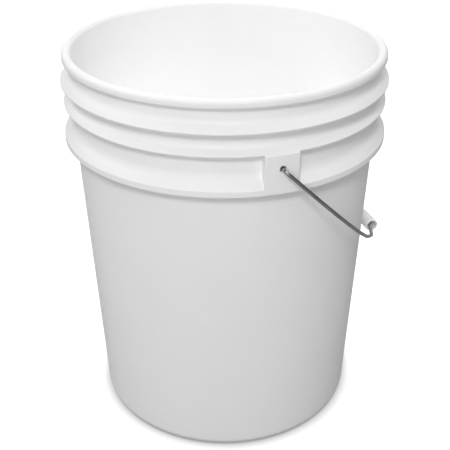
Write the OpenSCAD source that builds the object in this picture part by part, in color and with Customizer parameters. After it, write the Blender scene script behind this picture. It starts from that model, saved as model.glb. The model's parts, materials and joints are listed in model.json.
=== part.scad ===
// Round plastic pail, about 20 litres, with a swinging wire bail and a loose tubular hand grip.
// Millimetres, +Z up. The origin is the centre of the face that the pail stands on.
// The bail turns about the Y axis line through the two ears and hangs towards +X.

/* [Pail body] */
// Overall height, from the foot to the top of the rim
height = 370; // [300:1:450]
// Inside diameter at the mouth
mouth_d = 279.2; // [220:0.2:340]
// Outside diameter where the tapered wall would reach the ground
base_d = 258.8; // [200:0.2:320]
// Thickness of the side wall
wall = 2.4; // [1.8:0.1:3.2]
// Thickness of the bottom panel
bottom_t = 2.6; // [2:0.1:4]
// Depth of the straight neck, from the rim down to the tapered wall
neck_len = 62; // [50:1:70]
// Height of the foot ring under the bottom panel
foot_h = 4; // [2:0.5:8]
// Width of the face that the foot ring stands on
foot_w = 6; // [4:0.5:10]

/* [Rim and rings] */
// How far the rim bead stands out from the neck
bead_reach = 5.8; // [4:0.1:8]
// Height of the rim bead
bead_h = 7.2; // [4:0.1:9]
// How far the upper ring stands out from the neck
upper_reach = 8.8; // [6:0.1:11]
// Depth of the upper ring's lower edge below the rim
upper_drop = 28; // [24:0.1:30]
// How far the lower ring stands out from the neck
lower_reach = 7.3; // [6:0.1:11]
// Depth of the lower ring's lower edge below the rim
lower_drop = 47.7; // [44:0.1:49]
// How far the collar stands out from the neck
collar_reach = 9; // [8:0.1:12]
// Depth of the collar's lower edge below the rim
collar_drop = 82.5; // [78:0.1:90]
// Height of the collar's upright lip
collar_lip = 5.6; // [4:0.1:8]
// Thickness of the rings and of the collar
skirt_t = 2.2; // [1.6:0.1:3]
// Number of ribs under the collar
rib_count = 20; // [8:4:28]
// Thickness of each rib
rib_t = 1.6; // [1:0.1:3]

/* [Ears] */
// Width of each ear pad, across the pail
ear_w = 30.4; // [26:0.2:40]
// Depth of the bail's pivot below the rim
pivot_drop = 60; // [58:0.5:64]
// Diameter of the hole for the bail
ear_hole_d = 5.4; // [4.6:0.1:7]
// Thickness of the ear's face and sides
ear_t = 2.4; // [1.8:0.1:3]
// Height of the round boss behind each hole
boss_h = 1; // [0.6:0.1:1.2]

/* [Bail] */
// Diameter of the steel wire
wire_d = 3.4; // [2.5:0.1:4.2]
// Clear space between each leg and the ear's face
leg_gap = 4.3; // [3:0.1:10]
// Radius of the bow between each leg and its diagonal
bow_r = 165; // [100:1:180]
// Angle of the diagonals from the legs
diagonal_angle = 48; // [44:1:52]
// Clear space between the grip and the rim bead as the bail swings over
swing_gap = 30; // [20:1:60]
// How far the grip's axis stands above the plane of the legs
grip_lift = 7.2; // [5:0.1:9]
// How far each shoulder reaches past the grip's axis
shoulder_rise = 1.5; // [0:0.1:4]
// Distance from the grip's end to the corner of each shoulder
shoulder_gap = 8.5; // [8:0.1:14]
// Radius of the bend outside each ear
ear_bend_r = 5; // [4:0.1:6]
// Radius of the bend behind each ear
hook_bend_r = 4; // [3.5:0.1:4.5]
// Radius of the bends at the shoulders
shoulder_bend_r = 4.5; // [3.5:0.1:4.8]
// Length of the hook behind each ear, from the pivot's axis
hook_len = 8; // [7.5:0.1:9]

/* [Grip] */
// Length of the grip
grip_len = 92.6; // [70:0.2:112]
// Outside diameter of the grip
grip_d = 12.8; // [11:0.1:16]
// Wall of the grip
grip_wall = 1.6; // [1.2:0.1:2]
// Clear space between the grip and the pail's wall as it hangs
hang_gap = 0.4; // [0.3:0.1:2]

/* [Hidden] */
$fn = 96;
shell_fn = 180;
cut = 1;                     // how far a cutting solid runs past what it cuts
play = 0.2;                  // left between the wire and the grip's bore
lap = 0.15;                  // how far each straight run of wire reaches into the bends it meets
lap_step = 0.02;             // the bends are thinner by this, so the laps stay clean
arc_steps = 8;               // points on each rounded corner of the outline
edge_r = 0.3;                // fillet on the thin edges of the moulding
root_r = 0.6;                // fillet in the corners under the rings and under the collar
ring_slope = 0.63;           // fall of the rings' top faces for each unit outwards
ring_lip = 1.4;              // height of the rings' upright edges
ring_fillet = 6;             // between the top of a ring and the neck above it
collar_fillet = 11;          // between the top of the collar and the neck above it
bead_edge = 0.6;             // chamfer under the rim bead
rim_w = wall + bead_reach;   // width of the rim, across its top
bead_round = min(4.4, 0.54 * rim_w, bead_h - 2 * bead_edge);   // outer rounding of the rim
mouth_round = min(3.6, 0.44 * rim_w);                          // inner rounding of the rim
foot_edge = 5;               // height and depth of the rounded edge round the bottom
foot_slope = 1.5;            // run of the slope between the foot ring and the bottom panel
floor_fillet = 6;            // between the bottom panel and the wall, inside
pocket_gap = 0.3;            // skin left on the neck by the hollow behind each ear
boss_w = 2.5;                // width of the boss's face round each hole
neck_r = mouth_d / 2 + wall;
base_r = base_d / 2;
neck_z = height - neck_len;
taper = (neck_r - base_r) / neck_z;
bead_r = neck_r + bead_reach;
collar_r = neck_r + collar_reach;
collar_z = height - collar_drop;
pivot_z = height - pivot_drop;
floor_z = foot_h + bottom_t;
ear_top = height - lower_drop;
pocket_r = neck_r + pocket_gap;
plate_r = collar_r - ear_t;  // inner side of the ear's face
ear_angle = 2 * asin(ear_w / 2 / collar_r);
side_angle = 2 * asin(ear_t / 2 / collar_r);

// Grip and bail. Distances along the legs' plane are "along", and those square to it are "lift".
mouth_gap = 2;               // from the grip's end to the corner of the bend into it
grip_r = grip_d / 2;
bore_r = grip_r - grip_wall;
grip_reach = norm([bead_r, height - pivot_z]) + grip_r + swing_gap;
hang_offset = asin(grip_lift / grip_reach);
wall_limit = wall_r(pivot_z) + grip_r + hang_gap;
grip_angle = atan(taper) + acos(wall_limit / grip_reach / norm([1, taper]));
hang_angle = grip_angle + hang_offset;
grip_x = grip_reach * cos(grip_angle);
grip_z = pivot_z - grip_reach * sin(grip_angle);
leg_y = collar_r + leg_gap + wire_d / 2;
hook_y = (pocket_r + plate_r - boss_h) / 2;
seat = (bore_r - wire_d / 2 - play) / sqrt(2);   // from the bore's axis to the wire's, each way
grip_along = grip_reach * cos(hang_offset);
seat_along = grip_along - seat;
seat_lift = grip_lift - seat;
shoulder_y = grip_len / 2 + shoulder_gap;
shoulder_along = grip_along + shoulder_rise;
mouth_y = grip_len / 2 + mouth_gap;
bow_along = shoulder_along - (leg_y - shoulder_y) / tan(diagonal_angle);

// Radius of the tapered wall's outside at height z
function wall_r(z) = base_r + taper * z;

// Corner of an outline: radius from the pail's axis, height, and the fillet that rounds it
function corner_arc(before, here, after) =
    let (
        at = [here[0], here[1]],
        u = ([before[0], before[1]] - at) / norm([before[0], before[1]] - at),
        v = ([after[0], after[1]] - at) / norm([after[0], after[1]] - at),
        half = acos(max(-1, min(1, u * v))) / 2,
        back = here[2] / tan(half),
        centre = at + (u + v) / norm(u + v) * here[2] / sin(half),
        from = at + u * back - centre,
        to = at + v * back - centre,
        turn = 180 - 2 * half
    )
    [for (i = [0 : arc_steps])
        centre + (from * sin(turn * (1 - i / arc_steps)) + to * sin(turn * i / arc_steps)) / sin(turn)];

function rounded(corners) =
    let (n = len(corners))
    [for (i = [0 : n - 1])
        each corners[i][2] == 0
            ? [[corners[i][0], corners[i][1]]]
            : corner_arc(corners[(i + n - 1) % n], corners[i], corners[(i + 1) % n])];

// One thin ring: underside root, lower edge, upright edge, and the fillet into the neck above
function ring_corners(reach, drop) =
    let (low = height - drop, in = skirt_t / 2)
    [
        [neck_r, low + (reach - in) * ring_slope, root_r],
        [neck_r + reach - in, low, 0.2],
        [neck_r + reach, low, edge_r],
        [neck_r + reach, low + ring_lip, edge_r],
        [neck_r, low + ring_lip + reach * ring_slope, ring_fillet]
    ];

// Collar: a deeper skirt whose top face falls at 45 degrees, so equal steps out and down
collar_top = collar_z + collar_lip;
skirt_r = collar_r - skirt_t;
collar_root = collar_top + collar_reach - skirt_t * sqrt(2);
collar_corners = [
    [wall_r(collar_root), collar_root, root_r],
    [skirt_r, collar_root - (skirt_r - wall_r(collar_root)), 1],
    [skirt_r, collar_z, edge_r],
    [collar_r, collar_z, 0.7],
    [collar_r, collar_top, 1.5],
    [neck_r, collar_top + collar_reach, collar_fillet]
];

// The whole wall, from the middle of the underside, out and up to the rim, and down the inside
shell_outline = rounded(concat(
    [
        [0, foot_h, 0],
        [base_r - foot_edge - foot_w - foot_slope, foot_h, 1.5],
        [base_r - foot_edge - foot_w, 0, 0.8],
        [base_r - foot_edge / 2, 0, 4],
        [wall_r(foot_edge), foot_edge, 8]
    ],
    collar_corners,
    ring_corners(lower_reach, lower_drop),
    ring_corners(upper_reach, upper_drop),
    [
        [neck_r, height - bead_h - bead_edge, 1],
        [bead_r - bead_edge, height - bead_h, edge_r],
        [bead_r, height - bead_h + bead_edge, edge_r],
        [bead_r, height, bead_round],
        [neck_r - wall, height, mouth_round],
        [neck_r - wall, neck_z, 0],
        [wall_r(floor_z) - wall, floor_z, floor_fillet],
        [0, floor_z, 0]
    ]
));

module bucket() {
    color([0.95, 0.955, 0.95])
        difference() {
            union() {
                difference() {
                    union() {
                        rotate_extrude($fn = shell_fn) polygon(shell_outline);
                        both_ears() ear_pad();
                        collar_ribs();
                    }
                    both_ears() ear_hollow();
                }
                both_ears() ear_boss();
            }
            both_ears() ear_hole();
        }
}

// The first ear faces -Y, and the second is opposite
module both_ears() {
    for (side = [0, 180])
        rotate([0, 0, side]) children();
}

// Turns a profile, drawn as radius and height, through an angle centred on -Y
module sector(angle) {
    rotate([0, 0, -90 - angle / 2])
        rotate_extrude(angle = angle, $fn = shell_fn) children();
}

module ear_pad() {
    in = neck_r - wall / 2;
    sector(ear_angle)
        polygon([
            [in, collar_z],
            [collar_r, collar_z],
            [collar_r, ear_top],
            [neck_r + lower_reach - edge_r, ear_top + ring_lip - edge_r],
            [in, ear_top + ring_lip + ring_slope * (lower_reach - 1.5)]
        ]);
}

module ear_hollow() {
    sector(ear_angle - 2 * side_angle)
        polygon([
            [pocket_r, collar_z - cut],
            [plate_r, collar_z - cut],
            [plate_r, ear_top - ear_t],
            [pocket_r, ear_top - ear_t]
        ]);
}

module ear_boss() {
    translate([0, -plate_r + boss_h, pivot_z])
        rotate([90, 0, 0]) cylinder(r = ear_hole_d / 2 + boss_w, h = boss_h + ear_t / 2);
}

module ear_hole() {
    translate([0, -plate_r + boss_h + cut, pivot_z])
        rotate([90, 0, 0]) cylinder(d = ear_hole_d, h = boss_h + ear_t + 2 * cut);
}

// Upright ribs that tie the collar's skirt to the wall, set clear of the ears
module collar_ribs() {
    top = collar_root - 1;
    low = collar_z + 2;
    for (i = [0 : rib_count - 1])
        rotate([0, 0, (i + 0.5) * 360 / rib_count])
            translate([0, rib_t / 2, 0])
                rotate([90, 0, 0])
                    linear_extrude(rib_t)
                        polygon([
                            [wall_r(low) - wall / 2, low],
                            [skirt_r + skirt_t / 2, low],
                            [skirt_r + skirt_t / 2, collar_top],
                            [neck_r, top],
                            [wall_r(top) - wall / 2, top]
                        ]);
}

// Corners of half the bail, as [along the legs, across, lift], with the radius of each bend
bail_corners = [
    [[hook_len, -hook_y, 0], 0],
    [[0, -hook_y, 0], hook_bend_r],
    [[0, -leg_y, 0], ear_bend_r],
    [[bow_along, -leg_y, 0], bow_r],
    [[shoulder_along, -shoulder_y, 0], shoulder_bend_r],
    [[seat_along, -mouth_y, seat_lift], shoulder_bend_r],
    [[seat_along, 0, seat_lift], 0]
];

module bail() {
    color([0.6, 0.61, 0.63])
        translate([0, 0, pivot_z])
            rotate([0, hang_angle, 0]) {
                bent_wire(bail_corners);
                mirror([0, 1, 0]) bent_wire(bail_corners);
            }
}

function unit(v) = v / norm(v);
function heading(c, i) = unit(c[i + 1][0] - c[i][0]);
function turn_at(c, i) = acos(max(-1, min(1, heading(c, i - 1) * heading(c, i))));
function setback(c, i) =
    i == 0 || i == len(c) - 1 ? 0 : c[i][1] * tan(turn_at(c, i) / 2);

// Round wire that runs straight between corners and bends at each one
module bent_wire(c) {
    for (i = [0 : len(c) - 2]) {
        start = c[i][0] + heading(c, i) * setback(c, i);
        end = c[i + 1][0] - heading(c, i) * setback(c, i + 1);
        along = heading(c, i);
        first = i == 0 ? 0 : lap;
        translate(start - along * first)
            rotate([0, acos(along[2]), atan2(along[1], along[0])])
                cylinder(d = wire_d, h = norm(end - start) + first + lap, $fn = 32);
    }
    for (i = [1 : len(c) - 2]) bend(c, i);
}

module bend(c, i) {
    ahead = heading(c, i - 1);
    inward = unit(heading(c, i) - ahead);
    centre = c[i][0] + inward * c[i][1] / cos(turn_at(c, i) / 2);
    out = (c[i][0] - ahead * setback(c, i) - centre) / c[i][1];
    up = cross(out, ahead);
    multmatrix([
        [out[0], ahead[0], up[0], centre[0]],
        [out[1], ahead[1], up[1], centre[1]],
        [out[2], ahead[2], up[2], centre[2]],
        [0, 0, 0, 1]
    ])
        rotate_extrude(angle = turn_at(c, i), $fn = 64)
            translate([c[i][1], 0]) circle(d = wire_d - lap_step, $fn = 32);
}

module grip() {
    edge = grip_wall / 2 - 0.15;
    half = grip_len / 2;
    color([0.93, 0.93, 0.92])
        translate([grip_x, 0, grip_z])
            rotate([90, 0, 0])
                rotate_extrude()
                    polygon(rounded([
                        [bore_r, -half, edge],
                        [grip_r, -half, edge],
                        [grip_r, half, edge],
                        [bore_r, half, edge]
                    ]));
}

bucket();
bail();
grip();
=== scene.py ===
import json
import math

import bpy
import numpy as np
from mathutils import Matrix, Vector


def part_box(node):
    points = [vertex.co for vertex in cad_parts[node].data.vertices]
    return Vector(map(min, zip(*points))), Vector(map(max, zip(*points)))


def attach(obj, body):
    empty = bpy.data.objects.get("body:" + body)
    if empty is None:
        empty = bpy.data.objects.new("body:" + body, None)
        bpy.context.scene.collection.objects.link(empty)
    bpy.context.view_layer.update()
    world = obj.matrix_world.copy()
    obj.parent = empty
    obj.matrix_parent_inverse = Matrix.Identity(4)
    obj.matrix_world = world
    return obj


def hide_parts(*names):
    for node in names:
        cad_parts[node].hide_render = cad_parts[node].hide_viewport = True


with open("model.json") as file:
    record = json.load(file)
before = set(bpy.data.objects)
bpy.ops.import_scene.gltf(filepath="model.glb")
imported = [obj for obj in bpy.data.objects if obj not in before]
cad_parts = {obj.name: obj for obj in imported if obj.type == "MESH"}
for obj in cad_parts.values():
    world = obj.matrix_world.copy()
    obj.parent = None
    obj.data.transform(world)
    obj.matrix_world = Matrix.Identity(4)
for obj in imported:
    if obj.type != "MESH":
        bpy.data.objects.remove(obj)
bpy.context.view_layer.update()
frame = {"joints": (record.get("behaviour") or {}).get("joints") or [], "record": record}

# ---------------------------------------------------------------------------------------------
# Camera. It looks down on the pail from in front and a little to the left of the near ear, from
# 0.6 m above the floor that the pail stands on.
scene = bpy.context.scene
deg = math.pi / 180
camera_data = bpy.data.cameras.new("camera")
camera_data.lens = 67.34
camera_data.sensor_width = 36.0
camera = bpy.data.objects.new("camera", camera_data)
scene.collection.objects.link(camera)
camera_azimuth = -18.0 * deg
camera_distance = 0.7508
camera_height = 0.6026
camera_tilt = 60.49 * deg
camera_roll = -0.17 * deg
camera.matrix_world = (
    Matrix.Translation((
        camera_distance * math.sin(camera_azimuth),
        -camera_distance * math.cos(camera_azimuth),
        camera_height,
    ))
    @ Matrix.Rotation(camera_azimuth, 4, "Z")
    @ Matrix.Rotation(camera_tilt, 4, "X")
    @ Matrix.Rotation(camera_roll, 4, "Z")
)
scene.camera = camera
scene.view_settings.view_transform = "Standard"

# ---------------------------------------------------------------------------------------------
# Bucket. One injection moulding in white polyethylene: a tapered wall and bottom panel, a foot
# ring, a rim bead, two rings, and a collar whose skirt is tied to the wall by ribs. The ears are
# hollow pads moulded into the collar, each with a hole for the bail.
mm = 0.001
joints = {j["name"]: j for j in frame["joints"]}
mounts = {m["name"]: m for m in frame["record"]["mounts"]}
_, bucket_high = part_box("bucket")
height = bucket_high.z
collar_r = bucket_high.y
bead_r = mounts["lid_bead"]["dims"]["r_mm"] * mm
pivot_z = joints["bail_swing"]["pos_m"][2]

wall = 2.4 * mm
skirt_t = 2.2 * mm
neck_r = bead_r - 5.8 * mm
base_r = 129.4 * mm
neck_z = height - 62 * mm
foot_h = 4 * mm
floor_z = foot_h + 2.6 * mm
bead_h = 7.2 * mm
collar_z = height - 82.5 * mm
collar_top = collar_z + 5.6 * mm
upper_reach, upper_z = 8.8 * mm, height - 28 * mm
lower_reach, lower_z = 7.3 * mm, height - 47.7 * mm
ring_slope = 0.63
ring_lip = 1.4 * mm
ear_t = 2.4 * mm
ear_hole_r = 2.7 * mm
boss_r = 5.2 * mm
boss_h = 1.0 * mm
taper = (neck_r - base_r) / neck_z
skirt_r = collar_r - skirt_t
plate_r = collar_r - ear_t
collar_reach = collar_r - neck_r
collar_root = collar_top + collar_reach - skirt_t * math.sqrt(2)


def wall_r(z):
    """Radius of the tapered wall's outside at height z."""
    return base_r + taper * z


def arc(centre, first, last, turn, steps):
    """Points on a circle, from centre + first round to centre + last, which are turn apart."""
    return [centre + (first * math.sin(turn * (1 - k / steps)) + last * math.sin(turn * k / steps))
            / math.sin(turn) for k in range(steps + 1)]


def rounded(corners):
    """An outline from corners (radius, height, fillet, steps). Where the outline runs straight
    through a corner, its points are spread evenly over the fillet's length to either side."""
    nearly_straight = 0.02
    points = []
    for i, (r, z, fillet, steps) in enumerate(corners):
        at = np.array((r, z))
        if fillet == 0 or i in (0, len(corners) - 1):
            points.append(at)
            continue
        u = np.array(corners[i - 1][:2]) - at
        v = np.array(corners[i + 1][:2]) - at
        u /= np.linalg.norm(u)
        v /= np.linalg.norm(v)
        half = math.acos(max(-1.0, min(1.0, float(u @ v)))) / 2
        if math.pi / 2 - half < nearly_straight:
            points += [at + u * fillet * (1 - 2 * k / steps) for k in range(steps + 1)]
            continue
        back = fillet / math.tan(half)
        centre = at + (u + v) / np.linalg.norm(u + v) * fillet / math.sin(half)
        first, last = at + u * back - centre, at + v * back - centre
        points += arc(centre, first, last, math.pi - 2 * half, steps)
    return np.array(points)


def ring_corners(reach, low):
    """Corners of a thin ring: underside root, lower edge, upright edge, fillet into the neck."""
    inner = reach - skirt_t / 2
    return [
        (neck_r, low + inner * ring_slope, 0.6 * mm, 3),
        (neck_r + inner, low, 0.25 * mm, 2),
        (neck_r + reach, low, 0.35 * mm, 3),
        (neck_r + reach, low + ring_lip, 0.6 * mm, 4),
        (neck_r, low + ring_lip + reach * ring_slope, 6 * mm, 10),
    ]


hole_patch = 10 * mm        # half the width of the square of face around each ear hole
patch_steps = 16
# From the gate's mark in the middle of the underside, over the foot ring and up the wall.
gate_r = 4 * mm
gate_low = foot_h - 0.4 * mm
foot_in_r = base_r - 11 * mm
foot_out_r = base_r - 2.5 * mm
wall_low = 5 * mm
wall_high = collar_z - 2 * mm
base_outline = [
    (0, gate_low, 0, 0),
    (gate_r, gate_low, 0.4 * mm, 3),
    (gate_r + 1 * mm, foot_h, 0.4 * mm, 3),
    (foot_in_r - 1.5 * mm, foot_h, 1.5 * mm, 5),
    (foot_in_r, 0, 0.8 * mm, 4),
    (foot_out_r, 0, 4 * mm, 8),
    (wall_r(wall_low), wall_low, 8 * mm, 8),
    (wall_r(wall_high), wall_high, 0, 0),
]
# Over the rim bead, down the inside, and across the floor to the dimple behind the gate.
bead_low = height - bead_h
bead_edge = 0.6 * mm
dimple_z = floor_z - 0.3 * mm
rim_outline = [
    (neck_r, bead_low - bead_edge, 1 * mm, 4),
    (bead_r - bead_edge, bead_low, 0.4 * mm, 3),
    (bead_r, bead_low + bead_edge, 0.4 * mm, 3),
    (bead_r, height, 4.4 * mm, 12),
    (neck_r - wall, height, 3.6 * mm, 10),
    (neck_r - wall, neck_z, 4 * mm, 2),
    (wall_r(floor_z) - wall, floor_z, 6 * mm, 8),
    (gate_r + 1 * mm, floor_z, 0.5 * mm, 3),
    (gate_r, dimple_z, 0.3 * mm, 3),
    (0, dimple_z, 0, 0),
]
upper_ring = ring_corners(upper_reach, upper_z)

# The same stretch of outline in three forms, corner for corner: round the collar, through a rib
# under the collar, and through an ear, where the neck's outside moves out to the ear's face and
# steps back above it to the lower ring's edge.
under_plain = [
    (wall_r(collar_root), collar_root, 0.6 * mm, 3),
    (skirt_r, collar_root - (skirt_r - wall_r(collar_root)), 1 * mm, 4),
    (skirt_r, collar_z + 2 * mm, 0.5 * mm, patch_steps),
    (skirt_r, collar_z, 0.4 * mm, 3),
]
rib_low = collar_z + 2.6 * mm
under_rib = [
    (wall_r(rib_low), rib_low, 0.5 * mm, 3),
    (skirt_r, rib_low, 0.5 * mm, 4),
    (skirt_r, collar_z + 1.2 * mm, 0.3 * mm, patch_steps),
    (skirt_r, collar_z, 0.4 * mm, 3),
]
hollow_top = lower_z - ear_t
hollow_back_r = neck_r + 0.3 * mm
under_ear = [
    (hollow_back_r, hollow_top, 0.5 * mm, 3),
    (plate_r, hollow_top, 0.5 * mm, 4),
    (plate_r, pivot_z, hole_patch - 0.3 * mm, patch_steps),
    (plate_r, collar_z, 0.4 * mm, 3),
]
over_plain = [
    (collar_r, collar_z, 0.7 * mm, 4),
    (collar_r, collar_top, 1.5 * mm, 5),
    (neck_r, collar_top + collar_reach, 11 * mm, patch_steps),
] + ring_corners(lower_reach, lower_z)
over_ear = [
    (collar_r, collar_z, 0.7 * mm, 4),
    (collar_r, collar_top + 1 * mm, 1.5 * mm, 5),
    (collar_r, pivot_z, hole_patch, patch_steps),
    (collar_r, lower_z, 0.7 * mm, 3),
    (neck_r + lower_reach + 0.7 * mm, lower_z + 0.70 * mm, 0.1 * mm, 2),
    (neck_r + lower_reach + 0.3 * mm, lower_z + 1.05 * mm, 0.1 * mm, 3),
    (neck_r + lower_reach, lower_z + ring_lip, 0.6 * mm, 4),
    over_plain[-1],
]


def full_outline(under, over):
    return rounded(base_outline + under + over + upper_ring + rim_outline)


def rows_before(corners):
    """How many points the corners at the head of an outline give."""
    return sum(1 if c[2] == 0 else c[3] + 1 for c in corners)


plain = full_outline(under_plain, over_plain)
ribbed = full_outline(under_rib, over_plain)
eared = full_outline(under_ear, over_ear)
under_rows = slice(rows_before(base_outline), rows_before(base_outline + under_plain))
over_rows = slice(under_rows.stop, under_rows.stop + rows_before(over_plain))
inner_patch_row = rows_before(base_outline + under_ear[:2])
outer_patch_row = rows_before(base_outline + under_ear + over_ear[:2])

# Columns round the pail, each with how far it has gone over to the ear's outside, to the ear's
# hollow and to a rib. Distances across are arc lengths at the collar's radius.
ear_half = 15.2 * mm
side_cove = 1.6 * mm        # fillet where the ear's side meets the collar
side_round = 1.1 * mm       # rounding of the ear's upright edges
columns = {}


def add_column(distance, centre, ear_out=0.0, ear_in=0.0, rib=0.0):
    columns[round(centre + distance / collar_r, 7)] = (ear_out, ear_in, rib)


def ear_side_path():
    """Up the side of an ear, from the collar's cove to the ear's face. Each point is a distance
    across from the ear's middle, and the share of the ear's depth that it has come out."""
    steps = 6
    quarter = [k / steps * math.pi / 2 for k in range(steps + 1)]
    path = [(ear_half + side_cove * (1 - math.sin(a)), side_cove * (1 - math.cos(a))) for a in quarter]
    path += [(ear_half - side_round * (1 - math.cos(a)), collar_reach - side_round * (1 - math.sin(a)))
             for a in quarter]
    return [(s, h / collar_reach) for s, h in path]


# across the side of an ear's hollow, as (distance from its edge, share)
hollow_half = ear_half - ear_t
hollow_path = [(0.35 * mm, 0.0), (0.2 * mm, 0.06), (0.0, 0.5), (-0.2 * mm, 0.94), (-0.35 * mm, 1.0)]
ear_centres = (-math.pi / 2, math.pi / 2)
for centre in ear_centres:
    for side in (-1, 1):
        for s, share in ear_side_path():
            add_column(side * s, centre, ear_out=share, ear_in=1.0 if s < hollow_half else 0.0)
        for s, share in hollow_path:
            add_column(side * (hollow_half + s), centre, ear_out=1.0, ear_in=share)
    for k in range(patch_steps + 1):
        add_column(hole_patch * (2 * k / patch_steps - 1), centre, ear_out=1.0, ear_in=1.0)

# out over the side of a rib, as (distance from its middle, share)
rib_count = 20
rib_half_path = [(0.5 * mm, 1.0), (0.78 * mm, 0.9), (0.86 * mm, 0.1), (1.15 * mm, 0.0)]
for i in range(rib_count):
    centre = (i + 0.5) * 2 * math.pi / rib_count - math.pi
    for side in (-1, 1):
        for s, share in rib_half_path:
            add_column(side * s, centre, rib=share)

special = np.array(sorted(columns))
plain_count = 240
least_gap = 0.35 * deg
for k in range(plain_count):
    a = (k + 0.5) * 2 * math.pi / plain_count - math.pi
    gap = np.abs((special - a + math.pi) % (2 * math.pi) - math.pi).min()
    in_ear = min(abs(a - c) for c in ear_centres) < (ear_half + side_cove) / collar_r
    if gap > least_gap and not in_ear:
        columns[round(a, 7)] = (0.0, 0.0, 0.0)

angles = np.array(sorted(columns))
share_out, share_in, share_rib = np.array([columns[a] for a in angles]).T
profile = np.repeat(plain[None], len(angles), axis=0)
for rows, share, other in (
    (over_rows, share_out, eared), (under_rows, share_in, eared), (under_rows, share_rib, ribbed),
):
    profile[:, rows] += share[:, None, None] * (other[rows] - profile[:, rows])

radius, level = profile[..., 0], profile[..., 1]
points = np.stack([radius * np.cos(angles)[:, None], radius * np.sin(angles)[:, None], level], -1)
column_count, row_count = level.shape


def grid_index(column, row):
    """Vertex at a column and row. Each end of the outline is one vertex on the pail's axis."""
    if row == 0:
        return 0
    if row == row_count - 1:
        return 1
    return 2 + (column % column_count) * (row_count - 2) + row - 1


vertices = [tuple(points[0, 0]), tuple(points[0, -1])]
vertices += [tuple(p) for p in points[:, 1:-1].reshape(-1, 3)]
holes = []
for centre in ear_centres:
    first = int(np.argmin(np.abs(angles - (centre - hole_patch / collar_r))))
    holes.append((centre, first))


def in_patch(column, row):
    """Whether a face of the grid lies in a square that is meshed again round an ear's hole."""
    for _, first in holes:
        if first <= column < first + patch_steps:
            for start in (inner_patch_row, outer_patch_row):
                if start <= row < start + patch_steps:
                    return True
    return False


faces = []
for c in range(column_count):
    for r in range(row_count - 1):
        if in_patch(c, r):
            continue
        loop = [grid_index(c, r), grid_index(c + 1, r), grid_index(c + 1, r + 1), grid_index(c, r + 1)]
        faces.append([v for k, v in enumerate(loop) if v != loop[k - 1]])


def patch_border(first, start):
    """The square's border, once round, from its low corner."""
    n = patch_steps
    ring = [(first + k, start) for k in range(n)]
    ring += [(first + n, start + k) for k in range(n)]
    ring += [(first + n - k, start + n) for k in range(n)]
    ring += [(first, start + n - k) for k in range(n)]
    return [grid_index(c, r) for c, r in ring]


def bridge(a, b):
    for k in range(len(a)):
        n = (k + 1) % len(a)
        faces.append([a[k], a[n], b[n], b[k]])


def add_ring(r, lies_on, distance, centre, bearings):
    """A circle round an ear hole's axis. It lies on a round face of the ear, whose radius is the
    distance, or in a plane square to the hole, at that distance from the pail's axis."""
    out = Vector((math.cos(centre), math.sin(centre), 0))
    across = Vector((-math.sin(centre), math.cos(centre), 0))
    first = len(vertices)
    for b in bearings:
        x, z = r * math.cos(b), r * math.sin(b)
        y = math.sqrt(distance ** 2 - x * x) if lies_on == "face" else distance
        vertices.append(tuple(out * y + across * x + Vector((0, 0, pivot_z + z))))
    return list(range(first, first + len(bearings)))


# circles from the ear's face through the hole and over the boss behind it, to the inner face
land_r = 4.6 * mm
hole_round = 0.35 * mm
bore_chamfer = 0.2 * mm
boss_chamfer = 0.3 * mm
boss_end = plate_r - boss_h
hole_rings = [
    (land_r, "face", collar_r),
    (ear_hole_r + hole_round, "face", collar_r),
    (ear_hole_r + hole_round * 0.3, "plane", collar_r - hole_round * 0.3),
    (ear_hole_r, "plane", collar_r - hole_round),
    (ear_hole_r, "plane", boss_end + bore_chamfer),
    (ear_hole_r + bore_chamfer, "plane", boss_end),
    (boss_r - boss_chamfer, "plane", boss_end),
    (boss_r, "plane", boss_end + boss_chamfer),
    (boss_r, "face", plate_r),
]
for centre, first in holes:
    outer = patch_border(first, outer_patch_row)
    inner = patch_border(first, inner_patch_row)
    across = Vector((-math.sin(centre), math.cos(centre), 0))
    # the inner face's rows run downwards, so its border is matched to the outer one by bearing
    bearing = {v: math.atan2(vertices[v][2] - pivot_z, Vector(vertices[v]).dot(across))
               for v in outer + inner}
    inner = [min(inner, key=lambda v: abs((bearing[v] - bearing[o] + math.pi) % (2 * math.pi) - math.pi))
             for o in outer]
    bearings = [bearing[o] for o in outer]
    before = outer
    for r, lies_on, distance in hole_rings:
        ring = add_ring(r, lies_on, distance, centre, bearings)
        bridge(before, ring)
        before = ring
    bridge(before, inner)


def mesh_object(name, vertices, faces):
    mesh = bpy.data.meshes.new(name)
    mesh.from_pydata([tuple(v) for v in vertices], [], faces)
    mesh.validate()
    mesh.shade_smooth()
    piece = bpy.data.objects.new(name, mesh)
    scene.collection.objects.link(piece)
    return piece


def weight_normals(piece):
    """Lets broad faces set the shading, so that a fillet doesn't tint the faces beside it."""
    soft = piece.modifiers.new("broad faces lead", "WEIGHTED_NORMAL")
    soft.mode = "FACE_AREA"
    soft.weight = 50


bucket = mesh_object("bucket_moulding", vertices, faces)
weight_normals(bucket)

# The skin that a polished mould leaves on a thin wall: slow cloudiness, a few faint rubs where
# pails have been stacked, and a fine satin grain over a slight waviness. Lengths are in metres.
satin_skin = bpy.data.node_groups.new("satin skin", "ShaderNodeTree")
for name, way in (
    ("Cloud Size", "INPUT"), ("Grain Size", "INPUT"), ("Grain Depth", "INPUT"), ("Wave Depth", "INPUT"),
    ("Cloud", "OUTPUT"), ("Rub", "OUTPUT"), ("Height", "OUTPUT"),
):
    satin_skin.interface.new_socket(name=name, in_out=way, socket_type="NodeSocketFloat")


def arithmetic(tree, operation, a, b):
    """A Math node, each of whose two inputs is a socket or a number."""
    node = tree.nodes.new("ShaderNodeMath")
    node.operation = operation
    for socket, value in zip(node.inputs, (a, b)):
        if isinstance(value, (int, float)):
            socket.default_value = value
        else:
            tree.links.new(value, socket)
    return node.outputs[0]


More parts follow.
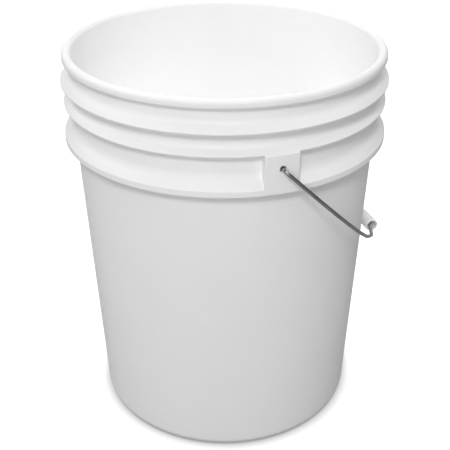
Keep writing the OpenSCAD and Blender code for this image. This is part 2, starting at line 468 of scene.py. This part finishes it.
def noise(tree, place, scale, detail, rough):
    """A Noise Texture's value at a place, with as many cells in a metre as scale says."""
    node = tree.nodes.new("ShaderNodeTexNoise")
    tree.links.new(place, node.inputs["Vector"])
    if isinstance(scale, (int, float)):
        node.inputs["Scale"].default_value = scale
    else:
        tree.links.new(scale, node.inputs["Scale"])
    node.inputs["Detail"].default_value = detail
    node.inputs["Roughness"].default_value = rough
    return node.outputs["Fac"]


def spread(tree, value, low, high, to_low=0.0, to_high=1.0):
    """A Map Range node that takes low..high to to_low..to_high and stops at both ends."""
    node = tree.nodes.new("ShaderNodeMapRange")
    tree.links.new(value, node.inputs["Value"])
    for socket, number in zip(("From Min", "From Max", "To Min", "To Max"), (low, high, to_low, to_high)):
        node.inputs[socket].default_value = number
    return node.outputs["Result"]


skin_in = satin_skin.nodes.new("NodeGroupInput").outputs
skin_out = satin_skin.nodes.new("NodeGroupOutput").inputs
place = satin_skin.nodes.new("ShaderNodeTexCoord").outputs["Object"]
cloud_scale = arithmetic(satin_skin, "DIVIDE", 1.0, skin_in["Cloud Size"])
cloud = noise(satin_skin, place, cloud_scale, 3, 0.5)
rub = noise(satin_skin, place, arithmetic(satin_skin, "MULTIPLY", cloud_scale, 2.7), 9, 0.68)
grain = noise(satin_skin, place, arithmetic(satin_skin, "DIVIDE", 1.0, skin_in["Grain Size"]), 2, 0.5)
satin_skin.links.new(spread(satin_skin, cloud, 0.3, 0.7), skin_out["Cloud"])
satin_skin.links.new(spread(satin_skin, rub, 0.56, 0.72), skin_out["Rub"])
satin_skin.links.new(
    arithmetic(satin_skin, "ADD",
               arithmetic(satin_skin, "MULTIPLY", grain, skin_in["Grain Depth"]),
               arithmetic(satin_skin, "MULTIPLY", cloud, skin_in["Wave Depth"])),
    skin_out["Height"],
)


def skin_on(material, cloud_size, grain_size, grain_depth, wave_depth, tones, roughness, rub_rough):
    """Lays the satin skin on a material: tones at the two ends of its cloudiness, its roughness
    range, and how much rougher a rub is."""
    tree = material.node_tree
    shader = tree.nodes["Principled BSDF"]
    skin = tree.nodes.new("ShaderNodeGroup")
    skin.node_tree = satin_skin
    for socket, value in (("Cloud Size", cloud_size), ("Grain Size", grain_size),
                          ("Grain Depth", grain_depth), ("Wave Depth", wave_depth)):
        skin.inputs[socket].default_value = value
    tone = tree.nodes.new("ShaderNodeMix")
    tone.data_type = "RGBA"
    tone.inputs["A"].default_value = (*tones[0], 1)
    tone.inputs["B"].default_value = (*tones[1], 1)
    tree.links.new(skin.outputs["Cloud"], tone.inputs["Factor"])
    tree.links.new(tone.outputs["Result"], shader.inputs["Base Color"])
    even = spread(tree, skin.outputs["Cloud"], 0.0, 1.0, *roughness)
    rubbed = arithmetic(tree, "MULTIPLY", skin.outputs["Rub"], rub_rough)
    tree.links.new(arithmetic(tree, "ADD", even, rubbed), shader.inputs["Roughness"])
    bump = tree.nodes.new("ShaderNodeBump")
    bump.inputs["Distance"].default_value = 1.0
    tree.links.new(skin.outputs["Height"], bump.inputs["Height"])
    tree.links.new(bump.outputs["Normal"], shader.inputs["Normal"])


white_plastic = bpy.data.materials.new("white polyethylene")
white_plastic.use_nodes = True
skin_on(white_plastic, 60 * mm, 0.9 * mm, 0.006 * mm, 0.12 * mm,
        tones=((0.925, 0.925, 0.923), (0.94, 0.94, 0.938)), roughness=(0.44, 0.54), rub_rough=0.1)
white_plastic.node_tree.nodes["Principled BSDF"].inputs["Specular IOR Level"].default_value = 0.35
bucket.data.materials.append(white_plastic)
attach(bucket, "pail")
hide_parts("bucket")

# ---------------------------------------------------------------------------------------------
# Bail. One length of zinc-coated steel wire, bent cold: a hook behind each ear, a sharp bend out
# of the hole, a long bow, a shoulder, and a crank into the grip.
wire_r = 1.7 * mm
grip_low, grip_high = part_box("grip")
_, bail_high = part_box("bail")
grip_x, _, grip_z = joints["grip_spin"]["pos_m"]
grip_half = grip_high.y
grip_r = (grip_high.z - grip_low.z) / 2
grip_wall = 1.6 * mm
grip_lift = 7.2 * mm
leg_y = bail_high.y - wire_r
hook_y = (hollow_back_r + boss_end) / 2
grip_reach = math.hypot(grip_x, grip_z - pivot_z)
hang_angle = math.atan2(pivot_z - grip_z, grip_x) + math.asin(grip_lift / grip_reach)
grip_along = math.sqrt(grip_reach ** 2 - grip_lift ** 2)
# inside the grip the wire lies off the middle, a little clear of the bore
bore_gap = 0.2 * mm
seat = (grip_r - grip_wall - wire_r - bore_gap) / math.sqrt(2)
seat_along = grip_along - seat
seat_lift = grip_lift - seat
crank_y = grip_half + 2 * mm
shoulder_y = grip_half + 8.5 * mm
shoulder_along = grip_along + 1.5 * mm
shoulder_flare = 48 * deg
bow_along = shoulder_along - (leg_y - shoulder_y) / math.tan(shoulder_flare)
hook_len = 8 * mm
# corners as (along the legs, across, lift), with the radius of each bend
bail_corners = [
    ((hook_len, -hook_y, 0), 0),
    ((0, -hook_y, 0), 4 * mm),
    ((0, -leg_y, 0), 5 * mm),
    ((bow_along, -leg_y, 0), 165 * mm),
    ((shoulder_along, -shoulder_y, 0), 4.5 * mm),
    ((seat_along, -crank_y, seat_lift), 4.5 * mm),
]
bail_corners += [((x, -y, z), r) for (x, y, z), r in reversed(bail_corners)]


def bent_path(corners, bend_step, straight_step):
    """Points along a wire that runs straight between corners and bends at each one."""
    spots = [np.array(p, float) for p, _ in corners]
    path = [spots[0]]
    for i in range(1, len(spots) - 1):
        a = spots[i - 1] - spots[i]
        b = spots[i + 1] - spots[i]
        a /= np.linalg.norm(a)
        b /= np.linalg.norm(b)
        turn = math.pi - math.acos(float(np.clip(a @ b, -1, 1)))
        r = corners[i][1]
        back = r * math.tan(turn / 2)
        centre = spots[i] + (a + b) / np.linalg.norm(a + b) * r / math.cos(turn / 2)
        first, last = spots[i] + a * back - centre, spots[i] + b * back - centre
        path += arc(centre, first, last, turn, max(4, math.ceil(turn / bend_step)))
    path.append(spots[-1])
    fine = [path[0]]
    for p in path[1:]:
        parts = max(1, math.ceil(np.linalg.norm(p - fine[-1]) / straight_step))
        start = fine[-1]
        fine += [start + (p - start) * k / parts for k in range(1, parts + 1)]
    return np.array(fine)


def sweep(path, radii, sides):
    """A round bar along a path, with frames carried along it so that it never twists."""
    ahead = np.gradient(path, axis=0)
    ahead /= np.linalg.norm(ahead, axis=1)[:, None]
    side = np.cross(ahead[0], (0, 0, 1.0))
    side /= np.linalg.norm(side)
    rings = []
    for p, d, r in zip(path, ahead, radii):
        side = side - d * (side @ d)
        side /= np.linalg.norm(side)
        up = np.cross(d, side)
        a = np.arange(sides) * 2 * math.pi / sides
        rings.append(p + r * (np.cos(a)[:, None] * side + np.sin(a)[:, None] * up))
    return np.array(rings)


path = bent_path(bail_corners, bend_step=7 * deg, straight_step=3 * mm)
turn_over = Matrix.Rotation(hang_angle, 3, "Y")
path = np.array([turn_over @ Vector(p) + Vector((0, 0, pivot_z)) for p in path])
ahead = np.gradient(path, axis=0)
ahead /= np.linalg.norm(ahead, axis=1)[:, None]
chamfer = 0.25 * mm
path = np.vstack([path[:1], path[:1] + ahead[:1] * chamfer, path[1:-1],
                  path[-1:] - ahead[-1:] * chamfer, path[-1:]])
radii = np.full(len(path), wire_r)
radii[[0, -1]] = wire_r - chamfer
wire_sides = 24
rings = sweep(path, radii, wire_sides)
wire_vertices = list(rings.reshape(-1, 3))
wire_faces = []
for i in range(len(rings) - 1):
    for k in range(wire_sides):
        n = (k + 1) % wire_sides
        wire_faces.append([i * wire_sides + k, i * wire_sides + n,
                           (i + 1) * wire_sides + n, (i + 1) * wire_sides + k])
wire_faces.append(list(range(wire_sides))[::-1])
wire_faces.append([(len(rings) - 1) * wire_sides + k for k in range(wire_sides)])
bail = mesh_object("bail_wire", wire_vertices, wire_faces)
weight_normals(bail)
# Each point keeps its place on the straight wire, before bending, so that the die's drawing
# marks run lengthwise through every bend.
run = np.concatenate([[0], np.cumsum(np.linalg.norm(np.diff(path, axis=0), axis=1))])
turns = np.arange(wire_sides) * 2 * math.pi / wire_sides
straight = np.stack([
    np.repeat(run, wire_sides),
    wire_r * np.tile(np.cos(turns), len(run)),
    wire_r * np.tile(np.sin(turns), len(run)),
], -1)
mark = bail.data.attributes.new("straight wire", "FLOAT_VECTOR", "POINT")
mark.data.foreach_set("vector", straight.ravel())

zinc_wire = bpy.data.materials.new("zinc-coated wire")
zinc_wire.use_nodes = True
tree = zinc_wire.node_tree
shader = tree.nodes["Principled BSDF"]
shader.inputs["Metallic"].default_value = 1.0
on_wire = tree.nodes.new("ShaderNodeAttribute")
on_wire.attribute_name = "straight wire"
drawn_out = tree.nodes.new("ShaderNodeMapping")
drawn_out.inputs["Scale"].default_value = (0.04, 1, 1)
tree.links.new(on_wire.outputs["Vector"], drawn_out.inputs["Vector"])
streaks = noise(tree, drawn_out.outputs["Vector"], 1200, 2, 0.5)
spangle = noise(tree, on_wire.outputs["Vector"], 120, 3, 0.5)
zinc_tone = tree.nodes.new("ShaderNodeMix")
zinc_tone.data_type = "RGBA"
zinc_tone.inputs["A"].default_value = (0.31, 0.31, 0.315, 1)
zinc_tone.inputs["B"].default_value = (0.42, 0.42, 0.425, 1)
blotch = arithmetic(tree, "ADD", arithmetic(tree, "MULTIPLY", streaks, 0.5),
                    arithmetic(tree, "MULTIPLY", spangle, 0.5))
tree.links.new(spread(tree, blotch, 0.35, 0.65), zinc_tone.inputs["Factor"])
tree.links.new(zinc_tone.outputs["Result"], shader.inputs["Base Color"])
tree.links.new(spread(tree, spangle, 0.3, 0.7, 0.26, 0.33), shader.inputs["Roughness"])
drawing_marks = tree.nodes.new("ShaderNodeBump")
drawing_marks.inputs["Distance"].default_value = 0.0008 * mm
tree.links.new(streaks, drawing_marks.inputs["Height"])
tree.links.new(drawing_marks.outputs["Normal"], shader.inputs["Normal"])
bail.data.materials.append(zinc_wire)
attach(bail, "bail")
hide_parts("bail")

# ---------------------------------------------------------------------------------------------
# Grip. A short moulded tube, open at both ends, that turns freely on the wire.
bore_r = grip_r - grip_wall
edge = grip_wall / 2 - 0.15 * mm
# the outline runs once round the tube's wall and ends beside its first point, so that last point
# is left out
tube_outline = rounded([
    (bore_r, 0, 0, 0),
    (bore_r, grip_half, edge, 6),
    (grip_r, grip_half, edge, 6),
    (grip_r, -grip_half, edge, 6),
    (bore_r, -grip_half, edge, 6),
    (bore_r, -0.001 * mm, 0, 0),
])[:-1]
tube_sides = 64
grip_vertices = []
for r, y in tube_outline:
    for k in range(tube_sides):
        a = k * 2 * math.pi / tube_sides
        grip_vertices.append((grip_x + r * math.cos(a), y, grip_z + r * math.sin(a)))
tube_rows = len(tube_outline)
grip_faces = []
for i in range(tube_rows):
    j = (i + 1) % tube_rows
    for k in range(tube_sides):
        n = (k + 1) % tube_sides
        grip_faces.append([i * tube_sides + k, j * tube_sides + k, j * tube_sides + n, i * tube_sides + n])
grip = mesh_object("grip_tube", grip_vertices, grip_faces)
weight_normals(grip)
grip_plastic = bpy.data.materials.new("moulded grip plastic")
grip_plastic.use_nodes = True
skin_on(grip_plastic, 25 * mm, 0.5 * mm, 0.008 * mm, 0.05 * mm,
        tones=((0.9, 0.9, 0.895), (0.93, 0.93, 0.925)), roughness=(0.36, 0.46), rub_rough=0.15)
shader = grip_plastic.node_tree.nodes["Principled BSDF"]
shader.inputs["Subsurface Weight"].default_value = 1.0
shader.inputs["Subsurface Radius"].default_value = (1, 1, 1)
shader.inputs["Subsurface Scale"].default_value = 2 * mm
grip.data.materials.append(grip_plastic)
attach(grip, "grip")
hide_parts("grip")

# ---------------------------------------------------------------------------------------------
# Stage: a plain white floor, lit like the sweep in a product studio. The camera sees it brighter
# than the pail does, as a sweep that is exposed to clear white. Where the floor meets the pail, a
# painted contact shadow, taken from the floor's ambient occlusion, darkens the colour and glow that
# the camera sees.
floor_half = 6
floor_corners = [(x * floor_half, y * floor_half, 0) for x, y in ((-1, -1), (1, -1), (1, 1), (-1, 1))]
floor = mesh_object("stage_floor", floor_corners, [[0, 1, 2, 3]])
floor_paint = bpy.data.materials.new("white floor")
floor_paint.use_nodes = True
tree = floor_paint.node_tree
shader = tree.nodes["Principled BSDF"]
shader.inputs["Roughness"].default_value = 1.0
shader.inputs["Specular IOR Level"].default_value = 0.0
# painted contact shadow: the floor's ambient occlusion darkens its colour and glow near the pail
near = tree.nodes.new("ShaderNodeAmbientOcclusion")
near.samples = 16
near.inputs["Distance"].default_value = 22 * mm
painted_contact_shade = spread(tree, near.outputs["AO"], 0.3, 0.95, 0.3, 1.0)
seen = tree.nodes.new("ShaderNodeLightPath").outputs["Is Camera Ray"]
sweep_tone = tree.nodes.new("ShaderNodeMix")
sweep_tone.data_type = "RGBA"
sweep_tone.inputs["A"].default_value = (0.4, 0.4, 0.4, 1)
tree.links.new(arithmetic(tree, "MULTIPLY", painted_contact_shade, 0.98), sweep_tone.inputs["B"])
tree.links.new(seen, sweep_tone.inputs["Factor"])
tree.links.new(sweep_tone.outputs["Result"], shader.inputs["Base Color"])
shader.inputs["Emission Color"].default_value = (1, 1, 1, 1)
# the glow that the camera sees, darkened near the pail by the painted contact shadow
tree.links.new(arithmetic(tree, "MULTIPLY", arithmetic(tree, "MULTIPLY", painted_contact_shade, seen), 0.62),
               shader.inputs["Emission Strength"])
floor.data.materials.append(floor_paint)

# ---------------------------------------------------------------------------------------------
# Lights: round softboxes in a ring about the pail, and a smaller key lamp that draws the lips'
# shadows. Each has a bearing from the camera's side, positive to the right, a height angle, a
# width in metres and a power in watts.
softboxes = [
    ("key", -8, 43, 0.4, 13.2),
    ("low, front", 0, 5, 1.3, 7.9),
    ("low, front left", -30, 10, 1.3, 2),
    ("right", 60, 35, 1.3, 2.9),
    ("right side", 95, 56, 1.3, 7.7),
    ("low, left", -80, 10, 1.3, 2.5),
    ("left", -103, 41, 1.3, 10.8),
    ("behind, high", 180, 60, 1.3, 8.6),
    ("low, behind left", -160, 8, 1.3, 4),
    ("low, behind right", 160, 8, 1.3, 4),
]
aim = Vector((0, 0, 0.2))
lamp_distance = 2.0
for name, bearing, climb, width, watts in softboxes:
    lamp = bpy.data.lights.new(name, "AREA")
    lamp.shape = "DISK"
    lamp.size = width
    lamp.energy = watts
    softbox = bpy.data.objects.new(name, lamp)
    scene.collection.objects.link(softbox)
    turn = camera_azimuth + bearing * deg
    towards = Vector((math.sin(turn) * math.cos(climb * deg), -math.cos(turn) * math.cos(climb * deg),
                      math.sin(climb * deg)))
    softbox.location = aim + towards * lamp_distance
    softbox.rotation_euler = towards.to_track_quat("Z", "Y").to_euler()
# a lamp over the mouth, its cone kept inside the rim, lifts the inside
mouth_lamp = bpy.data.lights.new("over the mouth", "SPOT")
mouth_lamp.energy = 6.2
mouth_lamp.spot_size = 40 * deg
mouth_lamp.spot_blend = 0.5
mouth_lamp.shadow_soft_size = 0.03
over_mouth = bpy.data.objects.new("over the mouth", mouth_lamp)
scene.collection.objects.link(over_mouth)
over_mouth.location = (0, 0, height + 380 * mm)
over_mouth.visible_camera = False

# the room: dim on the pail, and pale where the camera sees past the floor
world = bpy.data.worlds.new("studio")
scene.world = world
world.use_nodes = True
room = world.node_tree.nodes["Background"]
room.inputs["Color"].default_value = (1, 1, 1, 1)
seen = world.node_tree.nodes.new("ShaderNodeLightPath").outputs["Is Camera Ray"]
world.node_tree.links.new(spread(world.node_tree, seen, 0, 1, 0.15, 0.9), room.inputs["Strength"])
